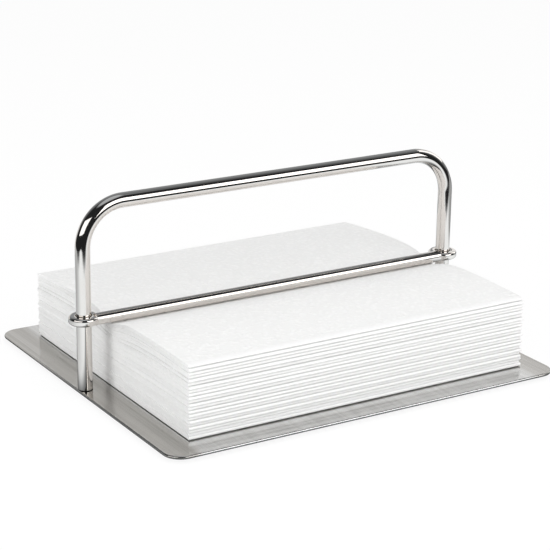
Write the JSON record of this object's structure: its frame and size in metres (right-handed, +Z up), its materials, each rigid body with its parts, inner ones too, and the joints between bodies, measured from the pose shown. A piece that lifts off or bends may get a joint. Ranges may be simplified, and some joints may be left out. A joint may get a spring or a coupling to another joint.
{
  "type": "napkin holder",
  "caption": "Flat napkin holder: rounded steel plate, bent bar handle and a press bar that slides on the handle's uprights and weighs down a stack of folded paper napkins.",
  "frame": {"origin": "on the table under the middle of the plate, at the bottom of the feet", "axes": "+X along the press rod from the left ring to the right ring, +Y to the back, +Z up"},
  "size_m": [0.1964, 0.165, 0.0859],
  "materials": {
    "satin_steel": "satin",
    "polished_steel": "polished",
    "screw_steel": "satin",
    "rubber": "matte",
    "napkin_paper": "matte"
  },
  "bodies": {
    "holder": {"base_plate": "satin_steel", "handle_frame": "polished_steel", "left_screw": "screw_steel", "right_screw": "screw_steel", "front_left_foot": "rubber", "front_right_foot": "rubber", "back_left_foot": "rubber", "back_right_foot": "rubber", "napkin_01": "napkin_paper", "napkin_02": "napkin_paper", "napkin_03": "napkin_paper", "napkin_04": "napkin_paper", "napkin_05": "napkin_paper", "napkin_06": "napkin_paper", "napkin_07": "napkin_paper", "napkin_08": "napkin_paper", "napkin_09": "napkin_paper", "napkin_10": "napkin_paper", "napkin_11": "napkin_paper", "napkin_12": "napkin_paper", "napkin_13": "napkin_paper", "napkin_14": "napkin_paper", "napkin_15": "napkin_paper", "napkin_16": "napkin_paper", "napkin_17": "napkin_paper", "napkin_18": "napkin_paper", "napkin_19": "napkin_paper", "napkin_20": "napkin_paper", "napkin_21": "napkin_paper", "napkin_22": "napkin_paper"},
    "press_bar": {"press_rod": "polished_steel", "left_ring": "polished_steel", "right_ring": "polished_steel"}
  },
  "joints": [
    {"name": "press_slide", "type": "slide", "parent": "holder", "child": "press_bar", "axis": [0, 0, 1], "range_m": [0, 0.028]}
  ]
}
